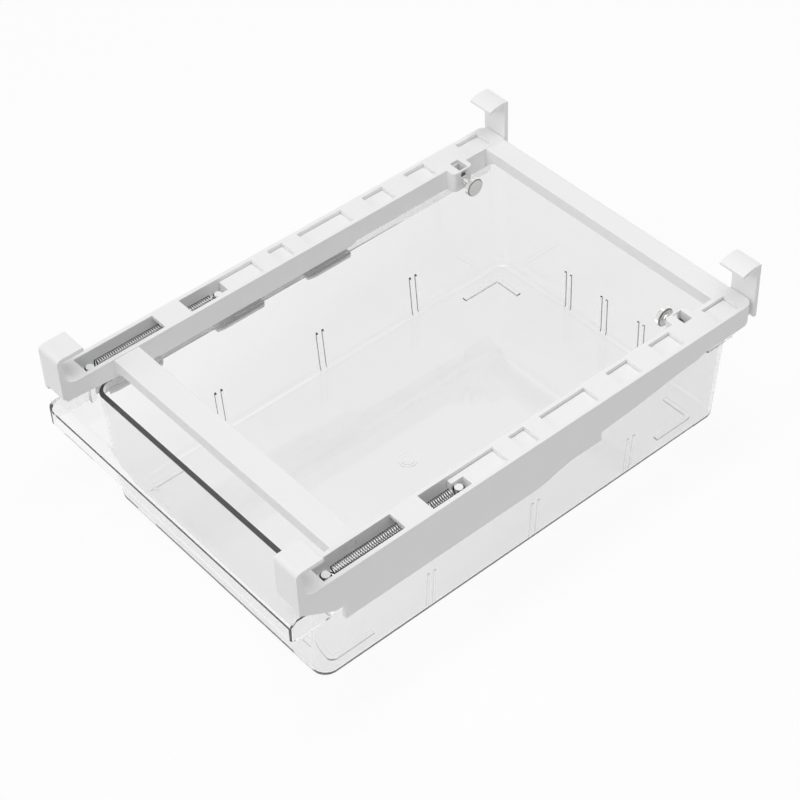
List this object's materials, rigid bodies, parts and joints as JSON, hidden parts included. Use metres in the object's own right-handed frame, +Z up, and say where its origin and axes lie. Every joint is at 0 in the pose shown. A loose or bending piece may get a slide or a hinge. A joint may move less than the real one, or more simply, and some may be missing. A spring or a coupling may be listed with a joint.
{
  "type": "fridge drawer organizer",
  "caption": "Clear storage drawer hung under a fridge shelf from a white frame with front clips and sprung rear hooks locked by thumb screws.",
  "frame": {"origin": "middle of the overall box, on the plane of the drawer's feet", "axes": "+X to the right seen from the front, +Y from the handle lip towards the rear hooks, +Z up; the drawer opens along -Y"},
  "size_m": [0.206, 0.308, 0.117],
  "materials": {
    "frame_plastic": "satin white moulding",
    "clear_plastic": "clear, polished",
    "spring_steel": "bright drawn wire",
    "plated_steel": "nickel plated, knurled",
    "dark_steel": "dark plated"
  },
  "bodies": {
    "frame": {"left_rail": "frame_plastic", "right_rail": "frame_plastic", "front_crossbar": "frame_plastic", "rear_crossbar": "frame_plastic", "left_square_nut": "dark_steel", "right_square_nut": "dark_steel", "left_spring": "spring_steel", "right_spring": "spring_steel"},
    "drawer": {"drawer": "clear_plastic"},
    "left_hook": {"left_hook_slide": "frame_plastic"},
    "right_hook": {"right_hook_slide": "frame_plastic"},
    "left_screw": {"left_thumb_screw": "plated_steel"},
    "right_screw": {"right_thumb_screw": "plated_steel"}
  },
  "joints": [
    {"name": "drawer_slide", "type": "slide", "parent": "frame", "child": "drawer", "axis": [0, -1, 0], "range_m": [0, 0.19]},
    {"name": "left_hook_slide", "type": "slide", "parent": "frame", "child": "left_hook", "axis": [0, 1, 0], "range_m": [0, 0.05], "stiffness_N_per_m": 150, "springref_m": -0.01, "deforming": ["left_spring"]},
    {"name": "right_hook_slide", "type": "slide", "parent": "frame", "child": "right_hook", "axis": [0, 1, 0], "range_m": [0, 0.05], "stiffness_N_per_m": 150, "springref_m": -0.01, "deforming": ["right_spring"]},
    {"name": "left_screw_turn", "type": "hinge", "parent": "frame", "child": "left_screw", "pos_m": [-0.07265, 0.11595, 0.0843], "axis": [-1, 0, 0], "range_deg": [-720, 0]},
    {"name": "right_screw_turn", "type": "hinge", "parent": "frame", "child": "right_screw", "pos_m": [0.07265, 0.11595, 0.0843], "axis": [1, 0, 0], "range_deg": [-720, 0]}
  ]
}
